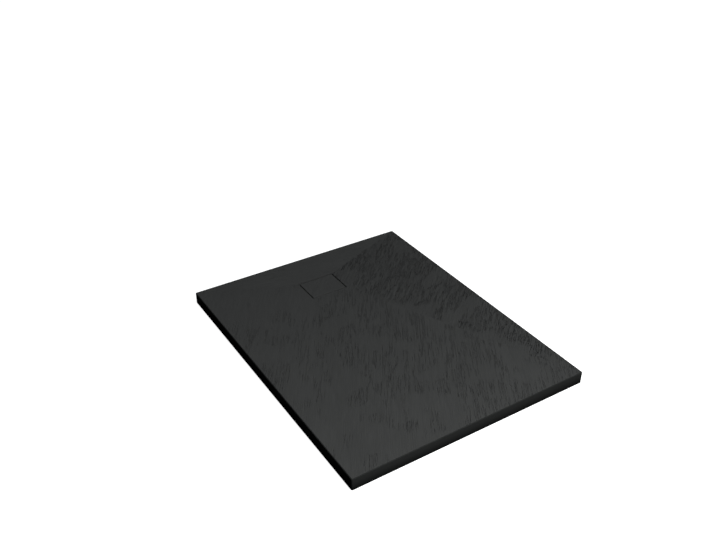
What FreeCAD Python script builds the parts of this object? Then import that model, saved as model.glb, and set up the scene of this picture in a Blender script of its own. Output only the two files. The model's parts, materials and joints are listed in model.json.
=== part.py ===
"""Flat slate-effect shower tray with its lift-off drain cover and its low bottle trap.

Millimetres. The origin is the middle of the tray's underside, +X runs from the drain end to the
far end, +Y towards one long side and +Z up. Everything round the drain is drawn about the drain's
own upright axis, and the outlet points along -X, under the tray.
"""

import math
import os

import FreeCAD, Part
import Sketcher

SIZES = [
    # the cast tray
    ("trayLength", 1000, "long side"),
    ("trayWidth", 800, "short side"),
    ("trayHeight", 40, "thickness at the rim"),
    ("trayCornerRadius", 4, "upright corners"),
    ("rimWidth", 5, "level rim round the bowl"),
    ("rimRounding", 2.5, "outer top edge"),
    ("baseBevel", 1, "outer bottom edge"),
    ("bowlFall", 20, "from the rim down to the drain"),
    ("drainInset", 165, "drain axis from the drain end"),
    ("recessLedge", 1, "level lip round the cover's recess"),
    ("recessCornerRadius", 5, "upright corners of the recess"),
    ("wasteHoleRadius", 45, "hole for the waste"),
    ("reliefDepth", 1.5, "seat for the trap's rim in the underside"),
    ("reliefGap", 3, "round the trap's rim"),
    # the cover
    ("coverLength", 97, "along the tray"),
    ("coverWidth", 127, "across the tray"),
    ("coverThickness", 6, "level with the bowl"),
    ("coverCornerRadius", 3, "upright corners"),
    ("coverRounding", 0.8, "top edge"),
    ("coverGap", 3.5, "water gap all round"),
    ("padHeight", 4, "cover above the sump's floor"),
    ("padRadius", 4.5, "silicone pad"),
    ("padInset", 9, "pad axis from the cover's edges"),
    ("padSocketDepth", 1, "pad let into the cover"),
    # the waste flange, from the hole inwards
    ("lipOverlap", 4, "lip past the waste hole"),
    ("lipSeatGap", 0.8, "lip in its seat"),
    ("flangeThickness", 1.5, "pressed sheet"),
    ("bendBevel", 1, "inside of the sheet's bends"),
    ("flangeHoleGap", 1.5, "dish in the waste hole"),
    ("dishDepth", 10, "from the lip's top down to the shelf's"),
    ("dishClearance", 0.2, "screw head to the dish's lower bend"),
    ("skirtLength", 14, "below the shelf's top"),
    ("lipGasketThickness", 1.5, "under the lip"),
    # the screws
    ("screwCount", 4, "screws, bosses and threaded inserts"),
    ("screwRadius", 2, "shank"),
    ("screwClearance", 0.3, "shank in the shelf"),
    ("screwHeadRadius", 3.8, "pan head"),
    ("screwHeadHeight", 2.4, "pan head"),
    ("screwHeadTaper", 14, "pan head's side, in degrees"),
    ("screwLength", 10, "under the head"),
    ("driveRadius", 1.5, "six-sided drive, to its corners"),
    ("driveDepth", 1.4, "six-sided drive"),
    ("insertWall", 0.75, "threaded insert"),
    ("insertLength", 8, "threaded insert"),
    ("insertBoreGap", 0.05, "screw in the threaded insert"),
    # the trap
    ("rimGasketThickness", 2.5, "between the tray and the trap"),
    ("rimGasketInset", 1, "from the rim's edge"),
    ("cupOversize", 1, "cup past the waste hole"),
    ("trapWall", 3, "moulded wall"),
    ("trapRimReach", 10, "rim past the cup"),
    ("trapRimThickness", 4, "rim that grips the tray"),
    ("cupFoot", 7, "slope between the cup's wall and its floor"),
    ("waterSeal", 22, "dip tube below the outlet's lowest point"),
    ("floorClearance", 10, "dip tube above the cup's floor"),
    ("bossWall", 2.2, "round the threaded insert"),
    ("bossHeight", 14, "screw boss"),
    ("bossGap", 1.5, "below the shelf"),
    ("bossBoreSpare", 2, "hole below the threaded insert"),
    ("gussetCount", 8, "ribs under the rim"),
    ("gussetThickness", 2.5, "ribs under the rim"),
    ("gussetHeight", 12, "ribs under the rim"),
    ("gussetReach", 8, "ribs under the rim"),
    # the outlet
    ("outletDrop", 30, "outlet axis below the trap's rim"),
    ("outletRadius", 17, "way through the neck"),
    ("neckLength", 12, "cup to the socket's stop"),
    ("socketRadius", 20.2, "for a pipe of 40 mm"),
    ("socketDepth", 19, "straight part of the socket"),
    ("socketWall", 3.8, "threaded wall"),
    ("mouthBevel", 3, "cone at the socket's mouth"),
    ("washerLength", 7, "washer beyond the socket"),
    ("washerStep", 0.2, "washer inside the thread"),
    ("slipRingThickness", 1.5, "slip ring"),
    ("nutThreadGap", 0.3, "nut over the socket"),
    ("nutWall", 2.6, "nut"),
    ("nutEndWall", 4, "nut's closed end"),
    ("nutOverlap", 15, "nut back over the socket"),
    ("nutPipeGap", 0.6, "nut and slip ring over the socket's radius"),
    ("nutRibCount", 12, "grips"),
    ("nutRibWidth", 3, "grips"),
    ("nutRibHeight", 1.4, "grips"),
    ("nutBevel", 1.2, "nut's closed end"),
    # the lift-out dip tube and its ring
    ("collarGap", 0.7, "collar to the screw heads"),
    ("collarWidth", 4.5, "collar on the shelf, past the skirt"),
    ("collarThickness", 2, "collar on the shelf"),
    ("collarBevel", 0.8, "collar's upper edges"),
    ("tubeClearance", 1.5, "tube in the skirt"),
    ("tubeWall", 2, "dip tube"),
    ("sealDrop", 8, "ring below the shelf's top"),
    ("sealSection", 1, "eight-sided ring's section, as a radius"),
    ("sealClearance", 0.3, "ring in the skirt, not yet squeezed"),
    ("sealGrooveSlack", 0.1, "groove past each side of the ring"),
    ("liftBarThickness", 2.4, "bar across the tube"),
    ("liftBarHeight", 7, "bar across the tube"),
    ("liftBarDrop", 14, "bar's top below the collar's top"),
    # the hair strainer
    ("basketGap", 0.8, "basket in the tube"),
    ("basketWall", 1.5, "basket and its rim"),
    ("basketDepth", 8, "below the collar's top"),
    ("basketBevel", 2, "basket's lower edge"),
    ("strainerRimInset", 2.5, "rim inside the collar's edge"),
    ("knobRadius", 6.5, "knob"),
    ("knobHeight", 2.5, "knob"),
    ("knobStemRadius", 2.5, "knob's stem"),
    ("knobBevel", 0.8, "knob's edges"),
    ("knobClearance", 2, "knob below the cover"),
    ("slotCount", 12, "slots in the basket's floor"),
    ("slotWidth", 2.6, "slots in the basket's floor"),
    ("slotStemMargin", 6, "slot's inner arc from the stem"),
    ("slotWallMargin", 3.7, "slot's outer arc from the basket's wall"),
]

doc = FreeCAD.newDocument("shower_tray")
sizes = doc.addObject("Spreadsheet::Sheet", "sizes")
for row, (alias, number, meaning) in enumerate(SIZES, 1):
    sizes.set(f"A{row}", alias)
    sizes.set(f"B{row}", str(number))
    sizes.set(f"C{row}", meaning)
    sizes.setAlias(f"B{row}", alias)
doc.recompute()

# Places that several pieces share, as expressions on the sheet: heights first
DRAIN_X = "(sizes.drainInset - sizes.trayLength / 2)"
BOWL_FLOOR = "(sizes.trayHeight - sizes.bowlFall)"
COVER_UNDERSIDE = f"({BOWL_FLOOR} - sizes.coverThickness)"
SUMP_FLOOR = f"({COVER_UNDERSIDE} - sizes.padHeight)"
LIP_UNDERSIDE = f"({SUMP_FLOOR} - sizes.flangeThickness)"
LIP_SEAT = f"({LIP_UNDERSIDE} - sizes.lipGasketThickness)"
SHELF_TOP = f"({SUMP_FLOOR} - sizes.dishDepth)"
SHELF_UNDERSIDE = f"({SHELF_TOP} - sizes.flangeThickness)"
COLLAR_TOP = f"({SHELF_TOP} + sizes.collarThickness)"
TRAP_TOP = "(sizes.reliefDepth - sizes.rimGasketThickness)"
TRAP_RIM_UNDERSIDE = f"({TRAP_TOP} - sizes.trapRimThickness)"
BOSS_TOP = f"({SHELF_UNDERSIDE} - sizes.bossGap)"
OUTLET_AXIS = f"({TRAP_TOP} - sizes.outletDrop)"
TUBE_END = f"({OUTLET_AXIS} - sizes.outletRadius - sizes.waterSeal)"
CUP_FLOOR = f"({TUBE_END} - sizes.floorClearance)"
CUP_BASE = f"({CUP_FLOOR} - sizes.trapWall)"

# then distances from the drain's axis, from the waste hole inwards and outwards
RECESS_HALF_LENGTH = "(sizes.coverLength / 2 + sizes.coverGap)"
RECESS_HALF_WIDTH = "(sizes.coverWidth / 2 + sizes.coverGap)"
DISH_OUTSIDE = "(sizes.wasteHoleRadius - sizes.flangeHoleGap)"
DISH_INSIDE = f"({DISH_OUTSIDE} - sizes.flangeThickness)"
HEAD_LIMIT = f"({DISH_INSIDE} - sizes.bendBevel - sizes.dishClearance)"
SCREW_CIRCLE = f"({HEAD_LIMIT} - sizes.screwHeadRadius)"
COLLAR_RADIUS = f"({SCREW_CIRCLE} - sizes.screwHeadRadius - sizes.collarGap)"
SKIRT_INSIDE = f"({COLLAR_RADIUS} - sizes.collarWidth)"
TUBE_OUTSIDE = f"({SKIRT_INSIDE} - sizes.tubeClearance)"
TUBE_INSIDE = f"({TUBE_OUTSIDE} - sizes.tubeWall)"
BASKET_OUTSIDE = f"({TUBE_INSIDE} - sizes.basketGap)"
BASKET_INSIDE = f"({BASKET_OUTSIDE} - sizes.basketWall)"
LIP_RADIUS = "(sizes.wasteHoleRadius + sizes.lipOverlap)"
CUP_INSIDE = "(sizes.wasteHoleRadius + sizes.cupOversize)"
CUP_OUTSIDE = f"({CUP_INSIDE} + sizes.trapWall)"
TRAP_RIM_RADIUS = f"({CUP_OUTSIDE} + sizes.trapRimReach)"

# and distances along the outlet from the drain's axis, with the radii there
SOCKET_STOP = f"({CUP_OUTSIDE} + sizes.neckLength)"
SOCKET_MOUTH = f"({SOCKET_STOP} + sizes.socketDepth + sizes.mouthBevel)"
WASHER_END = f"({SOCKET_MOUTH} + sizes.washerLength)"
SLIP_RING_END = f"({WASHER_END} + sizes.slipRingThickness)"
THREAD_RADIUS = "(sizes.socketRadius + sizes.socketWall)"
PIPE_HOLE = "(sizes.socketRadius + sizes.nutPipeGap)"
INSERT_BORE = "(sizes.screwRadius + sizes.insertBoreGap)"
INSERT_RADIUS = f"({INSERT_BORE} + sizes.insertWall)"
SCREW_TURN = "(180 / sizes.screwCount)"


def value(expression):
    """The number that an expression on the sheet gives now."""
    return float(sizes.evalExpression(expression))


def make_body(label, place_x="0", place_z="0", turned=False):
    """A body whose own origin stands at place_x and place_z, turned half round if it faces -X."""
    body = doc.addObject("PartDesign::Body", label)
    body.Label = label
    half_turn = FreeCAD.Rotation(FreeCAD.Vector(0, 0, 1), 180 if turned else 0)
    body.Placement = FreeCAD.Placement(FreeCAD.Vector(value(place_x), 0, value(place_z)), half_turn)
    body.setExpression("Placement.Base.x", place_x)
    body.setExpression("Placement.Base.z", place_z)
    return body


def origin_part(body, role):
    return next(item for item in body.Origin.OriginFeatures if item.Role == role)


def make_sketch(body, role, name, offset="0", turn="0"):
    """A sketch on an origin plane, moved along its normal by offset and turned by degrees in itself."""
    sketch = body.newObject("Sketcher::SketchObject", name)
    sketch.AttachmentSupport = [(origin_part(body, role), "")]
    sketch.MapMode = "FlatFace"
    normal = FreeCAD.Vector(0, 0, 1)
    sketch.AttachmentOffset = FreeCAD.Placement(
        normal * value(offset), FreeCAD.Rotation(normal, value(turn))
    )
    sketch.setExpression("AttachmentOffset.Base.z", offset)
    if turn != "0":
        sketch.setExpression("AttachmentOffset.Rotation.Angle", turn)
    return sketch


def pin_point(sketch, geometry, point, across, up):
    """Ties a point of a sketch to its two distances from the sketch's origin."""
    for kind, axis, text in (("DistanceX", -2, across), ("DistanceY", -1, up)):
        if text == "0":
            sketch.addConstraint(Sketcher.Constraint("PointOnObject", geometry, point, axis))
        else:
            pinned = Sketcher.Constraint(kind, -1, 1, geometry, point, value(text))
            number = sketch.addConstraint(pinned)
            sketch.setExpression(f"Constraints[{number}]", text)


def draw_outline(sketch, corners):
    """Straight edges through the corners, each an (across, up) pair of expressions, and closed."""
    first = sketch.GeometryCount
    spots = [FreeCAD.Vector(value(across), value(up), 0) for across, up in corners]
    for start, end in zip(spots, spots[1:] + spots[:1]):
        sketch.addGeometry(Part.LineSegment(start, end), False)
    for index, (across, up) in enumerate(corners):
        following = (index + 1) % len(corners)
        sketch.addConstraint(Sketcher.Constraint("Coincident", first + index, 2, first + following, 1))
        pin_point(sketch, first + index, 1, across, up)


def draw_rectangle(sketch, low_x, high_x, low_y, high_y):
    draw_outline(sketch, [(low_x, low_y), (high_x, low_y), (high_x, high_y), (low_x, high_y)])


def draw_circle(sketch, radius, across="0", up="0"):
    centre = FreeCAD.Vector(value(across), value(up), 0)
    circle = Part.Circle(centre, FreeCAD.Vector(0, 0, 1), value(radius))
    geometry = sketch.addGeometry(circle, False)
    pin_point(sketch, geometry, 3, across, up)
    number = sketch.addConstraint(Sketcher.Constraint("Radius", geometry, value(radius)))
    sketch.setExpression(f"Constraints[{number}]", radius)


def draw_polygon(sketch, sides, radius, across, up="0"):
    """Equal sides about a point, with one corner along the sketch's first axis."""
    corners = []
    for side in range(sides):
        angle = f"{side} * 360 / {sides}"
        corners.append((f"({across} + {radius} * cos({angle}))", f"({up} + {radius} * sin({angle}))"))
    draw_outline(sketch, corners)


def draw_round_end(sketch, centre, radius, low_line, high_line, faces_out):
    """Half a circle that runs smoothly from one long side of a slot or tongue to the other."""
    place = FreeCAD.Vector(value(centre), 0, 0)
    circle = Part.Circle(place, FreeCAD.Vector(0, 0, 1), value(radius))
    start = -math.pi / 2 if faces_out else math.pi / 2
    arc = sketch.addGeometry(Part.ArcOfCircle(circle, start, start + math.pi), False)
    before, after = (low_line, high_line) if faces_out else (high_line, low_line)
    sketch.addConstraint(Sketcher.Constraint("Tangent", before, 2, arc, 1))
    sketch.addConstraint(Sketcher.Constraint("Tangent", arc, 2, after, 1))
    pin_point(sketch, arc, 3, centre, "0")
    return arc


def draw_long_sides(sketch, start, end, radius):
    """The two sides of a slot or tongue along the sketch's first axis."""
    sides = []
    for first, last, side in ((start, end, -1), (end, start, 1)):
        height = side * value(radius)
        line = Part.LineSegment(
            FreeCAD.Vector(value(first), height, 0), FreeCAD.Vector(value(last), height, 0)
        )
        sides.append(sketch.addGeometry(line, False))
    return sides


def draw_slot(sketch, start, end, radius):
    """A slot between two arc centres, round at both ends."""
    low_line, high_line = draw_long_sides(sketch, start, end, radius)
    arc = draw_round_end(sketch, start, radius, low_line, high_line, faces_out=False)
    draw_round_end(sketch, end, radius, low_line, high_line, faces_out=True)
    sketch.addConstraint(Sketcher.Constraint("Horizontal", low_line))
    number = sketch.addConstraint(Sketcher.Constraint("Radius", arc, value(radius)))
    sketch.setExpression(f"Constraints[{number}]", radius)


def draw_tongue(sketch, start, end, radius):
    """A tongue from an arc's centre to a straight end."""
    low_line, high_line = draw_long_sides(sketch, start, end, radius)
    arc = draw_round_end(sketch, start, radius, low_line, high_line, faces_out=False)
    end_line = Part.LineSegment(
        FreeCAD.Vector(value(end), -value(radius), 0), FreeCAD.Vector(value(end), value(radius), 0)
    )
    straight = sketch.addGeometry(end_line, False)
    sketch.addConstraint(Sketcher.Constraint("Coincident", low_line, 2, straight, 1))
    sketch.addConstraint(Sketcher.Constraint("Coincident", straight, 2, high_line, 1))
    sketch.addConstraint(Sketcher.Constraint("Vertical", straight))
    pin_point(sketch, straight, 1, end, f"-{radius}")
    number = sketch.addConstraint(Sketcher.Constraint("Radius", arc, value(radius)))
    sketch.setExpression(f"Constraints[{number}]", radius)


def finish_step(step, grows, base=None):
    """Recomputes one step and stops if it changed the solid the wrong way."""
    base = base or step.BaseFeature
    before = base.Shape.Volume if base else 0
    doc.recompute()
    change = step.Shape.Volume - before
    if (change > 0) != grows:
        raise ValueError(f"{step.Name} changed the volume by {change:.3f} mm3")
    return step


def add_pad(body, sketch, name, length, both_ways=False):
    pad = body.newObject("PartDesign::Pad", name)
    pad.Profile = sketch
    pad.Midplane = both_ways
    pad.setExpression("Length", length)
    return finish_step(pad, grows=True)


def cut_pocket(body, sketch, name, depth, along_normal=False):
    """Cuts against the sketch's normal, or along it."""
    pocket = body.newObject("PartDesign::Pocket", name)
    pocket.Profile = sketch
    pocket.Reversed = along_normal
    pocket.setExpression("Length", depth)
    return finish_step(pocket, grows=False)


def turn_profile(body, sketch, name, axis="V_Axis", cuts=False):
    """Turns a section once round one of its sketch's own axes, to add to the solid or to cut it."""
    turned = body.newObject("PartDesign::Groove" if cuts else "PartDesign::Revolution", name)
    turned.Profile = sketch
    turned.ReferenceAxis = (sketch, [axis])
    turned.Angle = 360
    return finish_step(turned, grows=not cuts)


def repeat_round(body, originals, name, count, grows, axis="Z_Axis"):
    """Repeats steps at equal angles round one of the body's own axes."""
    pattern = body.newObject("PartDesign::PolarPattern", name)
    pattern.Originals = originals
    pattern.Axis = (origin_part(body, axis), [""])
    pattern.Angle = 360
    pattern.setExpression("Occurrences", count)
    body.Tip = pattern
    return finish_step(pattern, grows, originals[-1])


def dress_edges(body, base, kind, name, size, wanted):
    """Rounds or bevels the edges of a step that answer to wanted."""
    names = [f"Edge{index}" for index, edge in enumerate(base.Shape.Edges, 1) if wanted(edge)]
    dressed = body.newObject(f"PartDesign::{kind}", name)
    dressed.Base = (base, names)
    dressed.setExpression("Radius" if kind == "Fillet" else "Size", size)
    doc.recompute()
    return dressed


def is_upright(edge):
    box = edge.BoundBox
    return max(box.XLength, box.YLength) < 0.001 < box.ZLength


def is_level_at(height):
    return lambda edge: max(abs(edge.BoundBox.ZMin - height), abs(edge.BoundBox.ZMax - height)) < 0.001


def is_round_at(spots):
    """True for an edge that runs round the body's upright axis at one of the (radius, height) spots."""
    places = [(2 * value(radius), value(height)) for radius, height in spots]

    def matches(edge):
        box = edge.BoundBox
        middle = abs(box.XMax + box.XMin) < 0.01
        level = box.ZLength < 0.001
        fits = any(abs(box.XLength - w) < 0.02 and abs(box.ZMin - h) < 0.001 for w, h in places)
        return middle and level and fits

    return matches


def make_ring(label, inner, outer, low, thickness):
    """A flat ring about the drain's axis."""
    body = make_body(label, DRAIN_X)
    sketch = make_sketch(body, "XY_Plane", f"{label}_outline", low)
    draw_circle(sketch, outer)
    draw_circle(sketch, inner)
    add_pad(body, sketch, f"{label}_pad", thickness)
    return body


def make_tray_body():
    """The cast slab: four flat falls to a recess, with the waste hole and the seats round it."""
    body = make_body("tray_body")
    half_length = "(sizes.trayLength / 2)"
    half_width = "(sizes.trayWidth / 2)"
    slab_outline = make_sketch(body, "XY_Plane", "slab_outline")
    draw_rectangle(slab_outline, f"-{half_length}", half_length, f"-{half_width}", half_width)
    add_pad(body, slab_outline, "slab", BOWL_FLOOR)
    bowl_x = f"({half_length} - sizes.rimWidth)"
    bowl_y = f"({half_width} - sizes.rimWidth)"
    ledge_x = f"({RECESS_HALF_LENGTH} + sizes.recessLedge)"
    ledge_y = f"({RECESS_HALF_WIDTH} + sizes.recessLedge)"
    falls = [
        ("far_fall", "XZ_Plane", f"{DRAIN_X} + {ledge_x}", bowl_x, half_length),
        ("drain_end_fall", "XZ_Plane", f"{DRAIN_X} - {ledge_x}", f"-{bowl_x}", f"-{half_length}"),
        ("back_fall", "YZ_Plane", ledge_y, bowl_y, half_width),
        ("front_fall", "YZ_Plane", f"-{ledge_y}", f"-{bowl_y}", f"-{half_width}"),
    ]
    for name, plane, foot, top, edge in falls:
        section = make_sketch(body, plane, f"{name}_section")
        draw_outline(
            section,
            [(foot, BOWL_FLOOR), (top, "sizes.trayHeight"), (edge, "sizes.trayHeight"), (edge, BOWL_FLOOR)],
        )
        length = "sizes.trayWidth" if plane == "XZ_Plane" else "sizes.trayLength"
        slab = add_pad(body, section, name, length, both_ways=True)
    dress_edges(body, slab, "Fillet", "slab_corners", "sizes.trayCornerRadius", is_upright)

    recess_outline = make_sketch(body, "XY_Plane", "recess_outline", BOWL_FLOOR)
    low_x = f"{DRAIN_X} - {RECESS_HALF_LENGTH}"
    high_x = f"{DRAIN_X} + {RECESS_HALF_LENGTH}"
    draw_rectangle(recess_outline, low_x, high_x, f"-{RECESS_HALF_WIDTH}", RECESS_HALF_WIDTH)
    recess = cut_pocket(
        body, recess_outline, "recess", "sizes.coverThickness + sizes.padHeight"
    )
    inside_bowl = value(bowl_x)
    dress_edges(
        body,
        recess,
        "Fillet",
        "recess_corners",
        "sizes.recessCornerRadius",
        lambda edge: is_upright(edge) and abs(edge.BoundBox.XMin) < inside_bowl,
    )

    seat_outline = make_sketch(body, "XY_Plane", "lip_seat_outline", SUMP_FLOOR)
    draw_circle(seat_outline, f"{LIP_RADIUS} + sizes.lipSeatGap", DRAIN_X)
    lip_seat_depth = "sizes.flangeThickness + sizes.lipGasketThickness"
    cut_pocket(body, seat_outline, "lip_seat", lip_seat_depth)
    hole_outline = make_sketch(body, "XY_Plane", "waste_hole_outline", LIP_SEAT)
    draw_circle(hole_outline, "sizes.wasteHoleRadius", DRAIN_X)
    cut_pocket(body, hole_outline, "waste_hole", LIP_SEAT)
    relief_outline = make_sketch(body, "XY_Plane", "rim_relief_outline")
    draw_circle(relief_outline, f"{TRAP_RIM_RADIUS} + sizes.reliefGap", DRAIN_X)
    relief = cut_pocket(body, relief_outline, "rim_relief", "sizes.reliefDepth", along_normal=True)

    outer_x = value(half_length) - value("sizes.rimWidth") / 2
    outer_y = value(half_width) - value("sizes.rimWidth") / 2

    def is_outer(edge):
        middle = edge.valueAt((edge.FirstParameter + edge.LastParameter) / 2)
        return abs(middle.x) > outer_x or abs(middle.y) > outer_y

    level_top = is_level_at(value("sizes.trayHeight"))
    rim = dress_edges(
        body,
        relief,
        "Fillet",
        "rim_rounding",
        "sizes.rimRounding",
        lambda edge: level_top(edge) and is_outer(edge),
    )
    level_base = is_level_at(0)
    dress_edges(
        body,
        rim,
        "Chamfer",
        "base_bevel",
        "sizes.baseBevel",
        lambda edge: level_base(edge) and is_outer(edge),
    )
    return body


def draw_pad_circles(sketch):
    """The four pads, one near each corner of the cover."""
    across = "(sizes.coverLength / 2 - sizes.padInset)"
    up = "(sizes.coverWidth / 2 - sizes.padInset)"
    for side_x in ("", "-"):
        for side_y in ("", "-"):
            draw_circle(sketch, "sizes.padRadius", f"{side_x}{across}", f"{side_y}{up}")


def make_drain_cover():
    """The loose cover, level with the bowl, with sockets for its pads underneath."""
    body = make_body("drain_cover", DRAIN_X)
    outline = make_sketch(body, "XY_Plane", "cover_outline", COVER_UNDERSIDE)
    half_length = "(sizes.coverLength / 2)"
    half_width = "(sizes.coverWidth / 2)"
    draw_rectangle(outline, f"-{half_length}", half_length, f"-{half_width}", half_width)
    plate = add_pad(body, outline, "cover_plate", "sizes.coverThickness")
    plate = dress_edges(body, plate, "Fillet", "cover_corners", "sizes.coverCornerRadius", is_upright)
    dress_edges(
        body, plate, "Fillet", "cover_rounding", "sizes.coverRounding", is_level_at(value(BOWL_FLOOR))
    )
    sockets = make_sketch(body, "XY_Plane", "pad_sockets_outline", COVER_UNDERSIDE)
    draw_pad_circles(sockets)
    cut_pocket(body, sockets, "pad_sockets", "sizes.padSocketDepth", along_normal=True)
    return body


def make_cover_pads():
    """Four silicone pads, bonded into the cover's sockets, that stand on the sump's floor."""
    body = make_body("cover_pads", DRAIN_X)
    body.AllowCompound = True
    outline = make_sketch(body, "XY_Plane", "pads_outline", SUMP_FLOOR)
    draw_pad_circles(outline)
    add_pad(body, outline, "pads", "sizes.padHeight + sizes.padSocketDepth")
    return body


def make_waste_flange():
    """A pressed dish: a lip on the sump's gasket, a shelf for the screws and a sealing skirt."""
    body = make_body("waste_flange", DRAIN_X)
    section = make_sketch(body, "XZ_Plane", "flange_section")
    skirt_outside = f"({SKIRT_INSIDE} + sizes.flangeThickness)"
    skirt_end = f"({SHELF_TOP} - sizes.skirtLength)"
    draw_outline(
        section,
        [
            (SKIRT_INSIDE, skirt_end),
            (skirt_outside, skirt_end),
            (skirt_outside, SHELF_UNDERSIDE),
            (DISH_OUTSIDE, SHELF_UNDERSIDE),
            (DISH_OUTSIDE, LIP_UNDERSIDE),
            (LIP_RADIUS, LIP_UNDERSIDE),
            (LIP_RADIUS, SUMP_FLOOR),
            (DISH_INSIDE, SUMP_FLOOR),
            (DISH_INSIDE, SHELF_TOP),
            (SKIRT_INSIDE, SHELF_TOP),
        ],
    )
    dish = turn_profile(body, section, "flange_dish")
    outer_bends = [(DISH_INSIDE, SUMP_FLOOR), (DISH_OUTSIDE, SHELF_UNDERSIDE), (SKIRT_INSIDE, SHELF_TOP)]
    inner_bends = [(DISH_OUTSIDE, LIP_UNDERSIDE), (DISH_INSIDE, SHELF_TOP), (skirt_outside, SHELF_UNDERSIDE)]
    outer_bevel = "sizes.bendBevel + (2 - sqrt(2)) * sizes.flangeThickness"
    dish = dress_edges(body, dish, "Chamfer", "outer_bends", outer_bevel, is_round_at(outer_bends))
    dress_edges(body, dish, "Chamfer", "inner_bends", "sizes.bendBevel", is_round_at(inner_bends))
    hole_outline = make_sketch(body, "XY_Plane", "screw_hole_outline", SHELF_TOP, SCREW_TURN)
    draw_circle(hole_outline, "sizes.screwRadius + sizes.screwClearance", SCREW_CIRCLE)
    hole = cut_pocket(body, hole_outline, "screw_hole", "sizes.flangeThickness")
    repeat_round(body, [hole], "screw_holes", "sizes.screwCount", grows=False)
    return body


def make_flange_screws():
    """Pan-head screws from the shelf down into the trap's bosses."""
    body = make_body("flange_screws", DRAIN_X)
    body.AllowCompound = True
    head_outline = make_sketch(body, "XY_Plane", "screw_head_outline", SHELF_TOP, SCREW_TURN)
    draw_circle(head_outline, "sizes.screwHeadRadius", SCREW_CIRCLE)
    head = add_pad(body, head_outline, "screw_head", "sizes.screwHeadHeight")
    head.setExpression("TaperAngle", "-sizes.screwHeadTaper")
    shank_end = f"({SHELF_TOP} - sizes.screwLength)"
    shank_outline = make_sketch(body, "XY_Plane", "screw_shank_outline", shank_end, SCREW_TURN)
    draw_circle(shank_outline, "sizes.screwRadius", SCREW_CIRCLE)
    shank = add_pad(body, shank_outline, "screw_shank", "sizes.screwLength")
    head_top = f"({SHELF_TOP} + sizes.screwHeadHeight)"
    drive_outline = make_sketch(body, "XY_Plane", "screw_drive_outline", head_top, SCREW_TURN)
    draw_polygon(drive_outline, 6, "sizes.driveRadius", SCREW_CIRCLE)
    drive = cut_pocket(body, drive_outline, "screw_drive", "sizes.driveDepth")
    repeat_round(body, [head, shank, drive], "screws", "sizes.screwCount", grows=True)
    return body


def make_threaded_inserts():
    """Brass sleeves in the trap's bosses, one to each screw."""
    body = make_body("threaded_inserts", DRAIN_X)
    body.AllowCompound = True
    outline = make_sketch(
        body, "XY_Plane", "insert_outline", f"{BOSS_TOP} - sizes.insertLength", SCREW_TURN
    )
    draw_circle(outline, INSERT_RADIUS, SCREW_CIRCLE)
    draw_circle(outline, INSERT_BORE, SCREW_CIRCLE)
    sleeve = add_pad(body, outline, "insert_sleeve", "sizes.insertLength")
    repeat_round(body, [sleeve], "inserts", "sizes.screwCount", grows=True)
    return body


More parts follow.
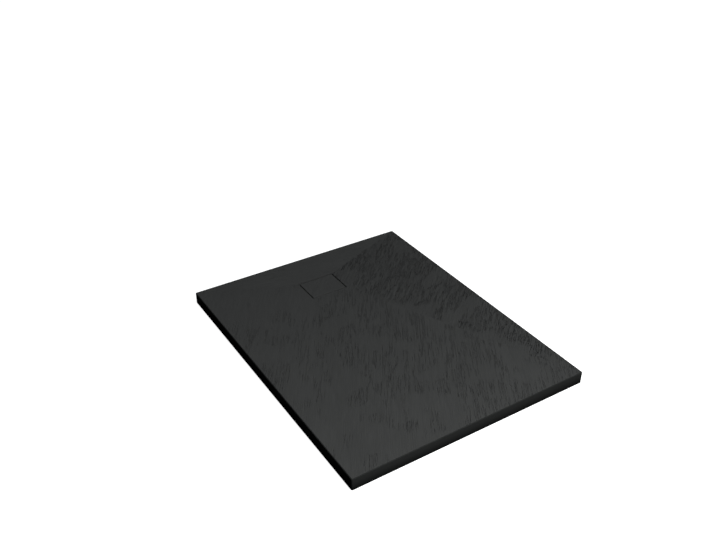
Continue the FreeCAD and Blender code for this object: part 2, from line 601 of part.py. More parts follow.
def make_trap_body():
    """The moulded cup under the tray: rim, gussets, screw bosses, outlet neck and pipe socket."""
    body = make_body("trap_body", DRAIN_X, turned=True)
    cup_section = make_sketch(body, "XZ_Plane", "cup_section")
    foot = "(sizes.cupFoot + (2 - sqrt(2)) * sizes.trapWall)"
    draw_outline(
        cup_section,
        [
            ("0", CUP_BASE),
            (f"({CUP_OUTSIDE} - {foot})", CUP_BASE),
            (CUP_OUTSIDE, f"({CUP_BASE} + {foot})"),
            (CUP_OUTSIDE, TRAP_RIM_UNDERSIDE),
            (TRAP_RIM_RADIUS, TRAP_RIM_UNDERSIDE),
            (TRAP_RIM_RADIUS, TRAP_TOP),
            ("0", TRAP_TOP),
        ],
    )
    turn_profile(body, cup_section, "cup_and_rim")

    gusset_outline = make_sketch(body, "XZ_Plane", "gusset_outline")
    gusset_end = f"({TRAP_RIM_UNDERSIDE} - sizes.gussetHeight)"
    draw_outline(
        gusset_outline,
        [
            (CUP_INSIDE, TRAP_RIM_UNDERSIDE),
            (CUP_INSIDE, gusset_end),
            (CUP_OUTSIDE, gusset_end),
            (f"({CUP_OUTSIDE} + sizes.gussetReach)", TRAP_RIM_UNDERSIDE),
        ],
    )
    gusset = add_pad(body, gusset_outline, "gusset", "sizes.gussetThickness", both_ways=True)
    repeat_round(body, [gusset], "gussets", "sizes.gussetCount", grows=True)

    neck_outline = make_sketch(body, "YZ_Plane", "neck_outline")
    draw_circle(neck_outline, "sizes.outletRadius + sizes.trapWall", "0", OUTLET_AXIS)
    add_pad(body, neck_outline, "neck", SOCKET_STOP)
    socket_back = f"({SOCKET_STOP} - sizes.trapWall)"
    socket_outline = make_sketch(body, "YZ_Plane", "socket_outline", socket_back)
    draw_circle(socket_outline, THREAD_RADIUS, "0", OUTLET_AXIS)
    add_pad(body, socket_outline, "socket", f"{SOCKET_MOUTH} - {socket_back}")

    inside_section = make_sketch(body, "XZ_Plane", "cup_inside_section")
    draw_outline(
        inside_section,
        [
            ("0", CUP_FLOOR),
            (f"({CUP_INSIDE} - sizes.cupFoot)", CUP_FLOOR),
            (CUP_INSIDE, f"({CUP_FLOOR} + sizes.cupFoot)"),
            (CUP_INSIDE, TRAP_TOP),
            ("0", TRAP_TOP),
        ],
    )
    turn_profile(body, inside_section, "cup_inside", cuts=True)

    boss_radius = f"({INSERT_RADIUS} + sizes.bossWall)"
    boss_end = f"({BOSS_TOP} - sizes.bossHeight)"
    boss_outline = make_sketch(body, "XY_Plane", "boss_outline", boss_end, SCREW_TURN)
    draw_tongue(boss_outline, SCREW_CIRCLE, f"({CUP_INSIDE} + sizes.trapWall / 2)", boss_radius)
    boss = add_pad(body, boss_outline, "boss", "sizes.bossHeight")
    bore_outline = make_sketch(body, "XY_Plane", "boss_bore_outline", BOSS_TOP, SCREW_TURN)
    draw_circle(bore_outline, INSERT_RADIUS, SCREW_CIRCLE)
    bore_depth = "sizes.insertLength + sizes.bossBoreSpare"
    bore = cut_pocket(body, bore_outline, "boss_bore", bore_depth)
    repeat_round(body, [boss, bore], "bosses", "sizes.screwCount", grows=True)

    way_outline = make_sketch(body, "YZ_Plane", "outlet_outline")
    draw_circle(way_outline, "sizes.outletRadius", "0", OUTLET_AXIS)
    cut_pocket(body, way_outline, "outlet", SOCKET_MOUTH, along_normal=True)
    bore_outline = make_sketch(body, "YZ_Plane", "socket_bore_outline", SOCKET_STOP)
    draw_circle(bore_outline, "sizes.socketRadius", "0", OUTLET_AXIS)
    socket_length = "sizes.socketDepth + sizes.mouthBevel"
    bore = cut_pocket(body, bore_outline, "socket_bore", socket_length, along_normal=True)
    mouth = value(SOCKET_MOUTH)
    mouth_width = 2 * value("sizes.socketRadius")

    def is_mouth(edge):
        box = edge.BoundBox
        return abs(box.XMin - mouth) < 0.001 and abs(box.YLength - mouth_width) < 0.01

    dress_edges(body, bore, "Chamfer", "socket_mouth", "sizes.mouthBevel", is_mouth)
    return body


def make_outlet_piece(label):
    """A body whose origin lies where the outlet's axis crosses the drain's."""
    return make_body(label, DRAIN_X, OUTLET_AXIS, turned=True)


def make_cone_washer():
    """The rubber washer that the nut wedges between the pipe and the socket's mouth."""
    body = make_outlet_piece("cone_washer")
    section = make_sketch(body, "XZ_Plane", "washer_section")
    nose = f"({SOCKET_STOP} + sizes.socketDepth)"
    washer_outside = f"({THREAD_RADIUS} - sizes.washerStep)"
    draw_outline(
        section,
        [
            (nose, "sizes.socketRadius"),
            (WASHER_END, "sizes.socketRadius"),
            (WASHER_END, washer_outside),
            (SOCKET_MOUTH, washer_outside),
            (SOCKET_MOUTH, "(sizes.socketRadius + sizes.mouthBevel)"),
        ],
    )
    turn_profile(body, section, "washer", "H_Axis")
    return body


def make_slip_ring():
    """The thin ring that lets the nut turn without dragging the washer round."""
    body = make_outlet_piece("slip_ring")
    outline = make_sketch(body, "YZ_Plane", "slip_ring_outline", WASHER_END)
    draw_circle(outline, THREAD_RADIUS)
    draw_circle(outline, PIPE_HOLE)
    add_pad(body, outline, "slip_ring_pad", "sizes.slipRingThickness")
    return body


def make_union_nut():
    """The ribbed nut over the socket's thread."""
    body = make_outlet_piece("union_nut")
    section = make_sketch(body, "XZ_Plane", "nut_section")
    start = f"({SOCKET_MOUTH} - sizes.nutOverlap)"
    end = f"({SLIP_RING_END} + sizes.nutEndWall)"
    inside = f"({THREAD_RADIUS} + sizes.nutThreadGap)"
    outside = f"({inside} + sizes.nutWall)"
    draw_outline(
        section,
        [
            (start, inside),
            (SLIP_RING_END, inside),
            (SLIP_RING_END, PIPE_HOLE),
            (end, PIPE_HOLE),
            (end, f"({outside} - sizes.nutBevel)"),
            (f"({end} - sizes.nutBevel)", outside),
            (start, outside),
        ],
    )
    turn_profile(body, section, "nut", "H_Axis")
    rib_outline = make_sketch(body, "YZ_Plane", "nut_rib_outline", start)
    half_width = "(sizes.nutRibWidth / 2)"
    rib_foot = f"({outside} - sizes.nutWall / 2)"
    rib_top = f"({outside} + sizes.nutRibHeight)"
    draw_rectangle(rib_outline, f"-{half_width}", half_width, rib_foot, rib_top)
    rib_length = f"{end} - sizes.nutBevel - {start}"
    rib = add_pad(body, rib_outline, "nut_rib", rib_length)
    repeat_round(body, [rib], "nut_ribs", "sizes.nutRibCount", grows=True, axis="X_Axis")
    return body


def make_dip_tube():
    """The lift-out tube whose foot stands in the trap's water, with its collar, groove and bar."""
    body = make_body("dip_tube", DRAIN_X)
    section = make_sketch(body, "XZ_Plane", "tube_section")
    groove_floor = f"({SKIRT_INSIDE} - sizes.sealClearance - 2 * sizes.sealSection)"
    groove_half = "(sizes.sealSection + sizes.sealGrooveSlack)"
    groove_low = f"({SHELF_TOP} - sizes.sealDrop - {groove_half})"
    groove_high = f"({SHELF_TOP} - sizes.sealDrop + {groove_half})"
    draw_outline(
        section,
        [
            (TUBE_INSIDE, TUBE_END),
            (TUBE_OUTSIDE, TUBE_END),
            (TUBE_OUTSIDE, groove_low),
            (groove_floor, groove_low),
            (groove_floor, groove_high),
            (TUBE_OUTSIDE, groove_high),
            (TUBE_OUTSIDE, SHELF_TOP),
            (COLLAR_RADIUS, SHELF_TOP),
            (COLLAR_RADIUS, COLLAR_TOP),
            (TUBE_INSIDE, COLLAR_TOP),
        ],
    )
    tube = turn_profile(body, section, "tube")
    upper_edges = is_round_at([(COLLAR_RADIUS, COLLAR_TOP), (TUBE_INSIDE, COLLAR_TOP)])
    dress_edges(body, tube, "Chamfer", "collar_bevel", "sizes.collarBevel", upper_edges)
    bar_low = f"({COLLAR_TOP} - sizes.liftBarDrop - sizes.liftBarHeight)"
    bar_outline = make_sketch(body, "XY_Plane", "lift_bar_outline", bar_low)
    bar_reach = f"({TUBE_INSIDE} + sizes.tubeWall / 4)"
    half_bar = "(sizes.liftBarThickness / 2)"
    draw_rectangle(bar_outline, f"-{half_bar}", half_bar, f"-{bar_reach}", bar_reach)
    add_pad(body, bar_outline, "lift_bar", "sizes.liftBarHeight")
    return body


def make_seal_ring():
    """The ring in the dip tube's groove."""
    body = make_body("seal_ring", DRAIN_X)
    section = make_sketch(body, "XZ_Plane", "seal_section")
    ring_radius = f"({SKIRT_INSIDE} - sizes.sealClearance - sizes.sealSection)"
    draw_polygon(section, 8, "sizes.sealSection", ring_radius, f"({SHELF_TOP} - sizes.sealDrop)")
    turn_profile(body, section, "seal")
    return body


def make_hair_strainer():
    """The lift-out basket in the dip tube's mouth: rim, wall, slotted floor and knob."""
    body = make_body("hair_strainer", DRAIN_X)
    section = make_sketch(body, "XZ_Plane", "strainer_section")
    rim_radius = f"({COLLAR_RADIUS} - sizes.strainerRimInset)"
    rim_top = f"({COLLAR_TOP} + sizes.basketWall)"
    floor_low = f"({COLLAR_TOP} - sizes.basketDepth)"
    floor_top = f"({floor_low} + sizes.basketWall)"
    knob_top = f"({COVER_UNDERSIDE} - sizes.knobClearance)"
    knob_low = f"({knob_top} - sizes.knobHeight)"
    draw_outline(
        section,
        [
            ("0", floor_low),
            (BASKET_OUTSIDE, floor_low),
            (BASKET_OUTSIDE, COLLAR_TOP),
            (rim_radius, COLLAR_TOP),
            (rim_radius, rim_top),
            (BASKET_INSIDE, rim_top),
            (BASKET_INSIDE, floor_top),
            ("sizes.knobStemRadius", floor_top),
            ("sizes.knobStemRadius", knob_low),
            ("sizes.knobRadius", knob_low),
            ("sizes.knobRadius", knob_top),
            ("0", knob_top),
        ],
    )
    basket = turn_profile(body, section, "basket")
    foot = is_round_at([(BASKET_OUTSIDE, floor_low)])
    basket = dress_edges(body, basket, "Chamfer", "basket_bevel", "sizes.basketBevel", foot)
    knob = is_round_at([("sizes.knobRadius", knob_low), ("sizes.knobRadius", knob_top)])
    dress_edges(body, basket, "Chamfer", "knob_bevel", "sizes.knobBevel", knob)
    slot_outline = make_sketch(body, "XY_Plane", "slot_outline", floor_top)
    slot_start = "(sizes.knobStemRadius + sizes.slotStemMargin)"
    slot_end = f"({BASKET_INSIDE} - sizes.slotWallMargin)"
    draw_slot(slot_outline, slot_start, slot_end, "(sizes.slotWidth / 2)")
    slot = cut_pocket(body, slot_outline, "slot", "sizes.basketWall")
    repeat_round(body, [slot], "slots", "sizes.slotCount", grows=False)
    return body


def save_parts(bodies):
    """Stops at any step that failed, then writes each piece's own file."""
    doc.recompute()
    failed = [item.Name for item in doc.Objects if {"Invalid", "Error"} & set(item.State)]
    if failed:
        raise ValueError(f"failed steps: {failed}")
    for body in bodies:
        if body.Shape.isNull() or not body.Shape.isValid():
            raise ValueError(f"{body.Label} is not a valid solid")
    os.makedirs("parts", exist_ok=True)
    for body in bodies:
        body.Shape.exportStep(f"parts/{body.Label}.step")


save_parts(
    [
        make_tray_body(),
        make_drain_cover(),
        make_cover_pads(),
        make_waste_flange(),
        make_ring("lip_gasket", "sizes.wasteHoleRadius", LIP_RADIUS, LIP_SEAT, "sizes.lipGasketThickness"),
        make_flange_screws(),
        make_ring(
            "rim_gasket",
            CUP_INSIDE,
            f"{TRAP_RIM_RADIUS} - sizes.rimGasketInset",
            TRAP_TOP,
            "sizes.rimGasketThickness",
        ),
        make_trap_body(),
        make_threaded_inserts(),
        make_cone_washer(),
        make_slip_ring(),
        make_union_nut(),
        make_dip_tube(),
        make_seal_ring(),
        make_hair_strainer(),
    ]
)
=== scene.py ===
"""Looks of the slate-effect shower tray, its cover and its waste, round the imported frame.

Metres, in the frame's own axes: +X runs from the drain end to the far end, +Y to the back and +Z up.
"""

import json
import math

import bmesh
import bpy
import numpy as np
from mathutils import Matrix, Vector


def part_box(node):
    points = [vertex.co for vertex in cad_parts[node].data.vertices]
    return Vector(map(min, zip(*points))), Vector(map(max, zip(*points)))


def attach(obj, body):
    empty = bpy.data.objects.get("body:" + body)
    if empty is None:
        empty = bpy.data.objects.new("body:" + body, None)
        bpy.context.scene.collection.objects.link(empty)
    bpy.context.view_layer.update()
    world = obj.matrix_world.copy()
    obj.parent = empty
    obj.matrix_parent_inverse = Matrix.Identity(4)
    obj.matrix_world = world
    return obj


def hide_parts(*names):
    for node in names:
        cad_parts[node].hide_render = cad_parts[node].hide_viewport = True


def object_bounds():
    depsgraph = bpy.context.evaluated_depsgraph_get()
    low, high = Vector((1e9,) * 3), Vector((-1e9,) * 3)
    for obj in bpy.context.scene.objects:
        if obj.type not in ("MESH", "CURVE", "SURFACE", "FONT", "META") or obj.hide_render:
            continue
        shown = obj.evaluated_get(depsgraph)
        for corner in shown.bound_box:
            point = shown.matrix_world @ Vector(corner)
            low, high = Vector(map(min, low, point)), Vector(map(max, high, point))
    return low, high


MM = 0.001

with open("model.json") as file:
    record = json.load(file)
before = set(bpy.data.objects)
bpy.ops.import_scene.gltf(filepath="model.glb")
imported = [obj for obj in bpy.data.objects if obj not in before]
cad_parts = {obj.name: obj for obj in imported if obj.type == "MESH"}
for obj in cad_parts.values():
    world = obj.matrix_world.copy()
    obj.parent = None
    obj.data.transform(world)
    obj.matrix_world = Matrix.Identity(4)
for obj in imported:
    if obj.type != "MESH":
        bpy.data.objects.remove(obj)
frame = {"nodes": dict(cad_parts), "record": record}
cad_low, cad_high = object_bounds()
tray_low, tray_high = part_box("tray_body")
cover_low, cover_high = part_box("drain_cover")
trap_low, trap_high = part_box("trap_body")
_, gasket_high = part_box("rim_gasket")
flange_low, flange_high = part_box("waste_flange")

# the tray's sizes that its box doesn't tell
RIM_WIDTH = 5 * MM
RIM_ROUNDING = 2.5 * MM
TRAY_CORNER = 4 * MM
BASE_BEVEL = 1 * MM
COVER_GAP = 3.5 * MM
LEDGE = 1 * MM
RECESS_CORNER = 5 * MM
WASTE_HOLE = 45 * MM
LIP_SEAT_GAP = 0.8 * MM
LIP_SEAT_DEPTH = 3 * MM
TRAP_RIM_GAP = 3 * MM

# the cover's
COVER_CORNER = 3 * MM
COVER_ROUNDING = 0.8 * MM
PAD_INSET = 9 * MM
PAD_RADIUS = 4.5 * MM
PAD_SOCKET = 1 * MM

# places that follow from them
RIM = tray_high.z
BOWL_FLOOR = cover_high.z
SUMP_FLOOR = flange_high.z
RELIEF_TOP = gasket_high.z
DRAIN_X = (cover_low.x + cover_high.x) / 2
LEDGE_X = (cover_high.x - cover_low.x) / 2 + COVER_GAP + LEDGE
LEDGE_Y = (cover_high.y - cover_low.y) / 2 + COVER_GAP + LEDGE
BOWL_X = tray_high.x - RIM_WIDTH
BOWL_Y = tray_high.y - RIM_WIDTH

# how finely the meshes are divided
TRAY_STEP = 3.2 * MM
COVER_STEP = 1.6 * MM
CORNER_STEPS = 6
ROUNDING_STEPS = 4
HOLE_SIDES = 96
PAD_SIDES = HOLE_SIDES // 3

# closer points become one, a sharper edge stays hard, and a face counts as level from this normal z up
SAME_PLACE = 0.001 * MM
SHARP = math.radians(30)
LEVEL = 0.99

# the slate relief: its greatest depth, how softly two falls meet, and how far it fades out at edges
DEEPEST = 1.4 * MM
FOLD_BLEND = 0.12 * MM
RIM_FADE = 9 * MM
LEDGE_FADE = 5 * MM
COVER_FADE = 5 * MM

# how far the relief's grain sways, and the length and width of one wave in each of its layers
SWAY = 9 * MM
SWAY_WAVE = (0.11, 0.07)
SWELL_WAVE = (0.16, 0.06)
SPLIT_WAVE = (0.13, 0.03)
CRUMB_WAVE = (0.04, 0.04)
STREAK_WAVE = (0.05, 0.0125)
PATCH_WAVE = (0.12, 0.12)

# the grain's direction and the relief's share of its full depth on each fall, and on the cover
FALLS = ("far", "drain_end", "back", "front")
GRAIN = {
    "far": math.radians(-33),
    "drain_end": math.radians(80),
    "back": math.radians(-47),
    "front": math.radians(-33),
    "cover": math.radians(-42),
}
RELIEF = {"far": 0.6, "drain_end": 0.3, "back": 1.0, "front": 0.5, "cover": 0.3}

# the slate's colour, the length and width of its strokes, and those of a patch in its other layers
SLATE_GREY = (0.0394, 0.0404, 0.0404)
STROKE = {
    "far": (0.07, 0.0038),
    "drain_end": (0.09, 0.006),
    "back": (0.045, 0.0044),
    "front": (0.07, 0.0038),
    "cover": (0.05, 0.004),
}
MOTTLE = (0.16, 0.06)
PATCH = (0.1, 0.07)
THREAD = (0.05, 0.003)
GRIT = (0.0016, 0.0012)

# the cast sides' colour at the floor and near the rim: a darker copy of the slate grey painted as the
# sides' shade, with painted shade deepening towards the floor
SHADED_EDGE_FOOT = (0.0075, 0.008, 0.008)
SHADED_EDGE_TOP = (0.0185, 0.0193, 0.0193)

# the Mix node's two colour inputs and its colour output, which share their names with others
MIX_FIRST, MIX_SECOND, MIXED = 6, 7, 2

# the camera that the slab's corners in the photograph give
CAMERA_LENS = 41.903
CAMERA_PLACE = (1.77015, -1.17972, 1.59777)
CAMERA_AIM = (-0.38376, 0.17421, 0)


def smooth_step(low, high, at):
    share = np.clip((at - low) / (high - low), 0, 1)
    return share * share * (3 - 2 * share)


def noise(x, y, wave, seed):
    """Smooth noise, about -1 to 1, with a random slope at each whole wave of its two coordinates."""
    x, y = x / wave[0], y / wave[1]
    left, low = np.floor(x), np.floor(y)
    right_of, above = x - left, y - low

    def corner(step_x, step_y):
        # the usual sine hash: its last digits are as good as random
        scatter = np.sin((left + step_x) * 127.1 + (low + step_y) * 311.7 + seed * 74.7) * 43758.5453
        turn = 2 * math.pi * (scatter - np.floor(scatter))
        return np.cos(turn) * (right_of - step_x) + np.sin(turn) * (above - step_y)

    mix_x = smooth_step(0, 1, right_of)
    mix_y = smooth_step(0, 1, above)
    lower = corner(0, 0) * (1 - mix_x) + corner(1, 0) * mix_x
    upper = corner(0, 1) * (1 - mix_x) + corner(1, 1) * mix_x
    return 1.5 * (lower * (1 - mix_y) + upper * mix_y)


def fall_heights(x, y):
    """The height of each of the four falls' planes at plan points, in the order of FALLS."""
    rise = RIM - BOWL_FLOOR
    far = (x - DRAIN_X - LEDGE_X) / (BOWL_X - DRAIN_X - LEDGE_X)
    drain_end = (DRAIN_X - LEDGE_X - x) / (BOWL_X + DRAIN_X - LEDGE_X)
    side = (np.abs(y) - LEDGE_Y) / (BOWL_Y - LEDGE_Y)
    back = np.where(y > 0, side, -1)
    front = np.where(y > 0, -1, side)
    return BOWL_FLOOR + rise * np.stack([far, drain_end, back, front])


def cleft_depth(x, y, face, seed):
    """How deep the slate's split surface lies at plan points, 0 to 1, along the grain of a face."""
    angle = GRAIN[face]
    along = x * math.cos(angle) + y * math.sin(angle)
    across = y * math.cos(angle) - x * math.sin(angle)
    across = across + SWAY * noise(along, across, SWAY_WAVE, seed)
    swell = 0.5 + 0.5 * noise(along, across, SWELL_WAVE, seed + 1)
    layers = 1.4 * noise(along, across, SPLIT_WAVE, seed + 2) + 0.5 * noise(x, y, CRUMB_WAVE, seed + 3)
    split = layers - np.floor(layers)
    streaks = smooth_step(-0.1, 0.4, noise(along, across, STREAK_WAVE, seed + 4))
    patches = 0.3 + 0.7 * smooth_step(-0.3, 0.3, noise(x, y, PATCH_WAVE, seed + 5))
    return RELIEF[face] * (0.2 * swell + 0.15 * split + 0.65 * streaks * patches)


def tray_heights(x, y):
    """The bowl's four falls under a level rim, with the slate relief cut down into them."""
    planes = fall_heights(x, y)
    flat = np.minimum(planes.max(0), RIM)
    weights = np.exp((planes - planes.max(0)) / FOLD_BLEND)
    weights /= weights.sum(0)
    depth = np.zeros_like(x)
    for seed, (fall, weight) in enumerate(zip(FALLS, weights)):
        depth += weight * cleft_depth(x, y, fall, 10 * seed)
    to_rim = np.minimum(BOWL_X + RIM_WIDTH / 2 - np.abs(x), BOWL_Y + RIM_WIDTH / 2 - np.abs(y))
    to_ledge = np.maximum(np.abs(x - DRAIN_X) - LEDGE_X, np.abs(y) - LEDGE_Y)
    fade = smooth_step(0, RIM_FADE, to_rim) * smooth_step(0, LEDGE_FADE, to_ledge)
    return flat - DEEPEST * depth * fade


def cover_heights(x, y):
    """The cover's level top, with the slate relief cut down into it."""
    to_edge = np.minimum(cover_high.x - x, x - cover_low.x)
    to_edge = np.minimum(to_edge, cover_high.y - np.abs(y))
    fade = smooth_step(COVER_ROUNDING, COVER_FADE, to_edge)
    return BOWL_FLOOR - DEEPEST * cleft_depth(x, y, "cover", 50) * fade


def spaced(stops, step):
    """Grid lines about a step apart, with a line on each stop."""
    lines = [stops[0]]
    for low, high in zip(stops, stops[1:]):
        count = max(1, round((high - low) / step))
        lines += [low + (high - low) * n / count for n in range(1, count + 1)]
    return lines


def add_loop(mesh, points):
    return [mesh.verts.new(point) for point in points]


def join_loops(mesh, first, second):
    """Faces between two closed loops with as many points each; a point may repeat in the first."""
    count = len(first)
    for at in range(count):
        after = (at + 1) % count
        corners = [first[at], first[after], second[after], second[at]]
        if first[at] is first[after]:
            corners.pop(1)
        mesh.faces.new(corners)


def fill_between(mesh, *loops):
    """A level face with holes in it, between closed loops."""
    edges = []
    for loop in loops:
        for start, end in zip(loop, loop[1:] + loop[:1]):
            edges.append(mesh.edges.get((start, end)) or mesh.edges.new((start, end)))
    bmesh.ops.triangle_fill(mesh, use_beauty=True, edges=edges)


def circle(centre_x, centre_y, radius, height, sides):
    """A level circle's points, anticlockwise."""
    turns = [2 * math.pi * n / sides for n in range(sides)]
    return [
        (centre_x + radius * math.cos(turn), centre_y + radius * math.sin(turn), height) for turn in turns
    ]


def round_rectangle(centre_x, half_x, half_y, corner, height):
    """The outline of a rectangle with round corners, in the middle of the tray's width."""
    points = []
    for quarter, (side_x, side_y) in enumerate([(1, 1), (-1, 1), (-1, -1), (1, -1)]):
        for n in range(CORNER_STEPS + 1):
            turn = math.pi / 2 * (quarter + n / CORNER_STEPS)
            x = centre_x + side_x * (half_x - corner) + corner * math.cos(turn)
            y = side_y * (half_y - corner) + corner * math.sin(turn)
            points.append((x, y, height))
    return points


def relief_grid(mesh, lines_x, lines_y, heights, hole=None):
    """A top surface on a grid. Returns its points by line, and leaves out the cells inside a hole."""
    x, y = np.meshgrid(lines_x, lines_y, indexing="ij")
    z = heights(x, y)
    points = [
        [mesh.verts.new((x[i, j], y[i, j], z[i, j])) for j in range(len(lines_y))]
        for i in range(len(lines_x))
    ]
    for i in range(len(lines_x) - 1):
        for j in range(len(lines_y) - 1):
            if hole and hole[0] <= i < hole[1] and hole[2] <= j < hole[3]:
                continue
            mesh.faces.new([points[i][j], points[i + 1][j], points[i + 1][j + 1], points[i][j + 1]])
    return points


def rim_of(points):
    """The grid's outermost points anticlockwise, each with the way out there; a corner fans out."""
    sides = [
        ([row[0] for row in points], -math.pi / 2),
        (points[-1], 0),
        ([row[-1] for row in reversed(points)], math.pi / 2),
        (points[0][::-1], math.pi),
    ]
    rim = []
    for side, turn in sides:
        rim += [(point, turn) for point in side]
        rim += [(side[-1], turn + math.pi / 2 * n / CORNER_STEPS) for n in range(1, CORNER_STEPS)]
    return rim


def hang_edge(mesh, points, profile):
    """Carries the grid's rim outwards and down a profile of (distance out, height), to the last loop."""
    rim = rim_of(points)
    loop = [point for point, _ in rim]
    starts = [(point.co.x, point.co.y, math.cos(turn), math.sin(turn)) for point, turn in rim]
    for out, height in profile:
        following = add_loop(mesh, [(x + out * dx, y + out * dy, height) for x, y, dx, dy in starts])
        join_loops(mesh, loop, following)
        loop = following
    return loop


def rounded_profile(corner, rounding, top, foot):
    """From the level top over a rounding to the upright side and down to its foot, as (out, height)."""
    profile = []
    for n in range(ROUNDING_STEPS + 1):
        turn = math.pi / 2 * n / ROUNDING_STEPS
        profile.append((corner - rounding * (1 - math.sin(turn)), top - rounding * (1 - math.cos(turn))))
    return profile + [(corner, foot)]


def finish_mesh(mesh, name, materials, body, node, choose):
    """Closes a mesh, gives each face its material and puts it in place of a node."""
    bmesh.ops.dissolve_degenerate(mesh, dist=SAME_PLACE, edges=mesh.edges)
    bmesh.ops.recalc_face_normals(mesh, faces=mesh.faces)
    for face in mesh.faces:
        face.smooth = True
        face.material_index = choose(face)
    data = bpy.data.meshes.new(name)
    mesh.to_mesh(data)
    mesh.free()
    data.set_sharp_from_angle(angle=SHARP)
    for material in materials:
        data.materials.append(material)
    piece = bpy.data.objects.new(name, data)
    bpy.context.scene.collection.objects.link(piece)
    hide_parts(node)
    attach(piece, body)
    return piece


def make_slate_tray(slate, edge):
    """The cast slab with its relief, the recess, the waste hole and the seats round it."""
    mesh = bmesh.new()
    inner_x = tray_high.x - TRAY_CORNER
    inner_y = tray_high.y - TRAY_CORNER
    stops_x = [-inner_x, DRAIN_X - LEDGE_X, DRAIN_X + LEDGE_X, inner_x]
    stops_y = [-inner_y, -LEDGE_Y, LEDGE_Y, inner_y]
    lines_x = spaced(stops_x, TRAY_STEP)
    lines_y = spaced(stops_y, TRAY_STEP)
    low_i, high_i = lines_x.index(stops_x[1]), lines_x.index(stops_x[2])
    low_j, high_j = lines_y.index(stops_y[1]), lines_y.index(stops_y[2])
    points = relief_grid(mesh, lines_x, lines_y, tray_heights, (low_i, high_i, low_j, high_j))
    for row in points[low_i + 1:high_i]:
        for point in row[low_j + 1:high_j]:
            mesh.verts.remove(point)

    profile = rounded_profile(TRAY_CORNER, RIM_ROUNDING, RIM, BASE_BEVEL)
    base = hang_edge(mesh, points, profile + [(TRAY_CORNER - BASE_BEVEL, tray_low.z)])

    ledge = [points[i][low_j] for i in range(low_i, high_i)]
    ledge += [points[high_i][j] for j in range(low_j, high_j)]
    ledge += [points[i][high_j] for i in range(high_i, low_i, -1)]
    ledge += [points[low_i][j] for j in range(high_j, low_j, -1)]
    recess_x, recess_y = LEDGE_X - LEDGE, LEDGE_Y - LEDGE
    recess_top = add_loop(mesh, round_rectangle(DRAIN_X, recess_x, recess_y, RECESS_CORNER, BOWL_FLOOR))
    recess_foot = add_loop(mesh, round_rectangle(DRAIN_X, recess_x, recess_y, RECESS_CORNER, SUMP_FLOOR))
    fill_between(mesh, ledge, recess_top)
    join_loops(mesh, recess_top, recess_foot)

    lip_seat = SUMP_FLOOR - LIP_SEAT_DEPTH
    seat_radius = (flange_high.x - flange_low.x) / 2 + LIP_SEAT_GAP
    relief_radius = (trap_high.y - trap_low.y) / 2 + TRAP_RIM_GAP
    steps = [
        (seat_radius, SUMP_FLOOR),
        (seat_radius, lip_seat),
        (WASTE_HOLE, lip_seat),
        (WASTE_HOLE, RELIEF_TOP),
        (relief_radius, RELIEF_TOP),
        (relief_radius, tray_low.z),
    ]
    rings = [add_loop(mesh, circle(DRAIN_X, 0, radius, height, HOLE_SIDES)) for radius, height in steps]
    fill_between(mesh, recess_foot, rings[0])
    for first, second in zip(rings, rings[1:]):
        join_loops(mesh, first, second)
    fill_between(mesh, base, rings[-1])

    def choose(face):
        """The edge's painted-shade material on the sides, underneath and on the rim's rounding, where it
        paints a dark line of shade; the nearest fall's slate elsewhere.
        """
        at = face.calc_center_median()
        in_bowl = abs(at.x) < inner_x and abs(at.y) < inner_y and at.z > SUMP_FLOOR
        # the rim's rounding isn't level, so it takes the painted shade too: a dark painted line along
        # every edge
        if face.normal.z < LEVEL and not in_bowl:
            return len(FALLS)
        return int(fall_heights(np.array(at.x), np.array(at.y)).argmax())

    return finish_mesh(mesh, "slate_tray", [*slate, edge], "tray", "tray_body", choose)


def make_slate_cover(slate):
    """The loose cover with its relief, and the sockets for its pads underneath."""
    mesh = bmesh.new()
    lines_x = spaced([cover_low.x + COVER_CORNER, cover_high.x - COVER_CORNER], COVER_STEP)
    lines_y = spaced([cover_low.y + COVER_CORNER, cover_high.y - COVER_CORNER], COVER_STEP)
    points = relief_grid(mesh, lines_x, lines_y, cover_heights)
    profile = rounded_profile(COVER_CORNER, COVER_ROUNDING, BOWL_FLOOR, cover_low.z)
    base = hang_edge(mesh, points, profile)
    rims = []
    for x in (cover_low.x + PAD_INSET, cover_high.x - PAD_INSET):
        for y in (cover_low.y + PAD_INSET, cover_high.y - PAD_INSET):
            rim = add_loop(mesh, circle(x, y, PAD_RADIUS, cover_low.z, PAD_SIDES))
            roof = add_loop(mesh, circle(x, y, PAD_RADIUS, cover_low.z + PAD_SOCKET, PAD_SIDES))
            join_loops(mesh, rim, roof)
            mesh.faces.new(roof)
            rims.append(rim)
    fill_between(mesh, base, *rims)
    return finish_mesh(mesh, "slate_cover", [slate], "cover", "drain_cover", lambda face: 0)


def add_node(tree, kind, inputs=(), **settings):
    """A shader node with its settings, and its inputs set to numbers or linked to sockets."""
    made = tree.nodes.new(kind)
    for name, setting in settings.items():
        setattr(made, name, setting)
    for name, source in dict(inputs).items():
        if isinstance(source, bpy.types.NodeSocket):
            tree.links.new(source, made.inputs[name])
        else:
            made.inputs[name].default_value = source
    return made


def start_material(name, **sockets):
    """A material with one shader. Returns it, its nodes, its shader and the object's own coordinates."""
    material = bpy.data.materials.new(name)
    material.use_nodes = True
    tree = material.node_tree
    shader = tree.nodes["Principled BSDF"]
    for socket, number in sockets.items():
        shader.inputs[socket.replace("_", " ")].default_value = number
    place = add_node(tree, "ShaderNodeTexCoord").outputs["Object"]
    return material, tree, shader, place


def grain_noise(tree, place, angle, length, width, detail, seed, bend=0.0):
    """Noise drawn out along an angle in the level plane: length and width are those of one patch."""
    turned = add_node(tree, "ShaderNodeMapping", {"Vector": place, "Rotation": (0, 0, -angle)})
    scaled = add_node(
        tree,
        "ShaderNodeVectorMath",
        {0: turned.outputs[0], 1: (1 / length, 1 / width, 1 / length)},
        operation="MULTIPLY",
    )
    inputs = {"Vector": scaled.outputs[0], "W": seed, "Scale": 1.0, "Detail": detail, "Distortion": bend}
    return add_node(tree, "ShaderNodeTexNoise", inputs, noise_dimensions="4D").outputs[0]


